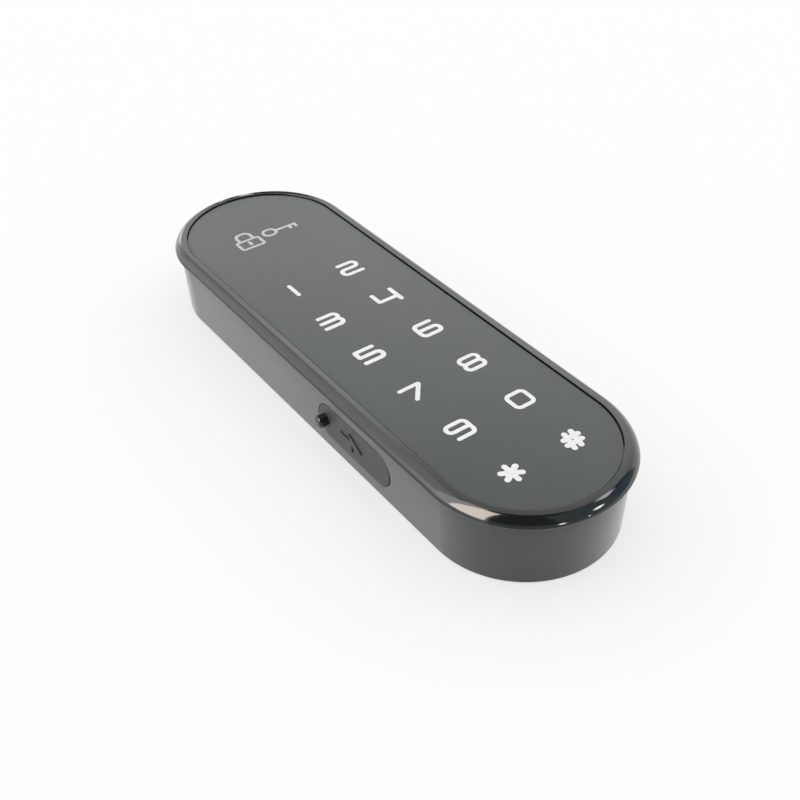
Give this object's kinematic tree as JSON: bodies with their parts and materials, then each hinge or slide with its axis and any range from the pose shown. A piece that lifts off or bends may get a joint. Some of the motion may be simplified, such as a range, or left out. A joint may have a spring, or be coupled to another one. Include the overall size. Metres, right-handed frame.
{
  "type": "electronic cabinet lock",
  "caption": "Long touch keypad lock front with round ends, a glossy rim, a swinging port cover, and a geared motor that turns a square-socket output hub.",
  "frame": {"origin": "middle of the flat back that rests against the cabinet door, on the lock's two planes of symmetry", "axes": "X is the width, with the port cover on -X; Y is the length, with the key marks upright towards +Y; Z points out of the door, with the touch panel on top"},
  "size_m": [0.0438, 0.1384, 0.0176],
  "materials": {
    "angle_sensor": "moulded",
    "back_plate": "matte moulded",
    "back_screw_1": "bright",
    "back_screw_2": "bright",
    "back_screw_3": "bright",
    "back_screw_4": "bright",
    "back_screw_5": "bright",
    "back_screw_6": "bright",
    "back_seal": "matte",
    "battery_cell_1": "coated",
    "battery_cell_2": "coated",
    "battery_cell_3": "coated",
    "battery_door": "matte moulded",
    "battery_spring_1": "nickel plated",
    "battery_spring_2": "nickel plated",
    "battery_spring_3": "nickel plated",
    "bezel_frame": "glossy",
    "board_screw_1": "bright",
    "board_screw_2": "bright",
    "board_screw_3": "bright",
    "board_screw_4": "bright",
    "body_shell": "matte moulded",
    "bracket_screw": "bright",
    "button_switch": "moulded",
    "buzzer": "moulded",
    "contact_plate_1": "nickel plated",
    "contact_plate_2": "nickel plated",
    "contact_plate_3": "nickel plated",
    "contact_plate_4": "nickel plated",
    "controller_chip": "moulded",
    "cover_pull": "glossy",
    "door_screw": "bright",
    "gear_plate": "natural nylon",
    "gear_plate_screw_1": "bright",
    "gear_plate_screw_2": "bright",
    "gear_plate_screw_3": "bright",
    "hub_bush": "sintered bronze",
    "hub_magnet": "nickel plated",
    "idler_gear": "natural nylon",
    "idler_pin": "bright",
    "light_guide": "diffusing",
    "main_board": "solder mask",
    "motor": "bright",
    "motor_bracket": "bright",
    "motor_lead_1": "wire sleeve",
    "motor_lead_2": "wire sleeve",
    "motor_worm": "machined",
    "mounting_insert_1": "machined",
    "mounting_insert_2": "machined",
    "output_hub": "nickel plated",
    "panel_adhesive": "foam",
    "pin_header": "moulded",
    "port_anchor": "matte",
    "port_board": "solder mask",
    "port_cover": "matte",
    "setup_button": "natural nylon",
    "switch_nib": "natural nylon",
    "touch_chip": "moulded",
    "touch_panel": "satin",
    "usb_socket": "nickel plated"
  },
  "bodies": {
    "housing": {"angle_sensor": "angle_sensor", "back_plate": "back_plate", "back_screw_1": "back_screw_1", "back_screw_2": "back_screw_2", "back_screw_3": "back_screw_3", "back_screw_4": "back_screw_4", "back_screw_5": "back_screw_5", "back_screw_6": "back_screw_6", "back_seal": "back_seal", "battery_cell_1": "battery_cell_1", "battery_cell_2": "battery_cell_2", "battery_cell_3": "battery_cell_3", "battery_door": "battery_door", "battery_spring_1": "battery_spring_1", "battery_spring_2": "battery_spring_2", "battery_spring_3": "battery_spring_3", "bezel_frame": "bezel_frame", "board_screw_1": "board_screw_1", "board_screw_2": "board_screw_2", "board_screw_3": "board_screw_3", "board_screw_4": "board_screw_4", "body_shell": "body_shell", "bracket_screw": "bracket_screw", "button_switch": "button_switch", "buzzer": "buzzer", "contact_plate_1": "contact_plate_1", "contact_plate_2": "contact_plate_2", "contact_plate_3": "contact_plate_3", "contact_plate_4": "contact_plate_4", "controller_chip": "controller_chip", "door_screw": "door_screw", "gear_plate": "gear_plate", "gear_plate_screw_1": "gear_plate_screw_1", "gear_plate_screw_2": "gear_plate_screw_2", "gear_plate_screw_3": "gear_plate_screw_3", "hub_bush": "hub_bush", "idler_pin": "idler_pin", "light_guide": "light_guide", "main_board": "main_board", "motor": "motor", "motor_bracket": "motor_bracket", "motor_lead_1": "motor_lead_1", "motor_lead_2": "motor_lead_2", "mounting_insert_1": "mounting_insert_1", "mounting_insert_2": "mounting_insert_2", "panel_adhesive": "panel_adhesive", "pin_header": "pin_header", "port_anchor": "port_anchor", "port_board": "port_board", "touch_chip": "touch_chip", "touch_panel": "touch_panel", "usb_socket": "usb_socket"},
    "motor_rotor": {"motor_worm": "motor_worm"},
    "idler": {"idler_gear": "idler_gear"},
    "hub": {"output_hub": "output_hub", "hub_magnet": "hub_magnet"},
    "port_cover_body": {"port_cover": "port_cover", "cover_pull": "cover_pull"},
    "setup_button_body": {"setup_button": "setup_button", "switch_nib": "switch_nib"}
  },
  "joints": [
    {"name": "motor_spin", "type": "hinge", "parent": "housing", "child": "motor_rotor", "pos_m": [0.0115, -0.03133, 0.0073], "axis": [0, 1, 0], "range_deg": [0, 7200]},
    {"name": "idler_spin", "type": "hinge", "parent": "housing", "child": "idler", "pos_m": [0.004, -0.03133, 0.0055], "axis": [0, 0, 1], "range_deg": [-360, 0]},
    {"name": "hub_turn", "type": "hinge", "parent": "housing", "child": "hub", "pos_m": [0, -0.04317, 0], "axis": [0, 0, 1], "range_deg": [0, 90]},
    {"name": "port_cover_swing", "type": "hinge", "parent": "housing", "child": "port_cover_body", "pos_m": [-0.0197, -0.02968, 0.0075], "axis": [0, 0, 1], "range_deg": [0, 105]},
    {"name": "setup_press", "type": "slide", "parent": "housing", "child": "setup_button_body", "axis": [0, 0, 1], "range_m": [0, 0.0006], "stiffness_N_per_m": 300}
  ],
  "couplings": [
    {"joint": "idler_spin", "follows": "motor_spin", "ratio": -0.05},
    {"joint": "hub_turn", "follows": "motor_spin", "ratio": 0.0125}
  ]
}
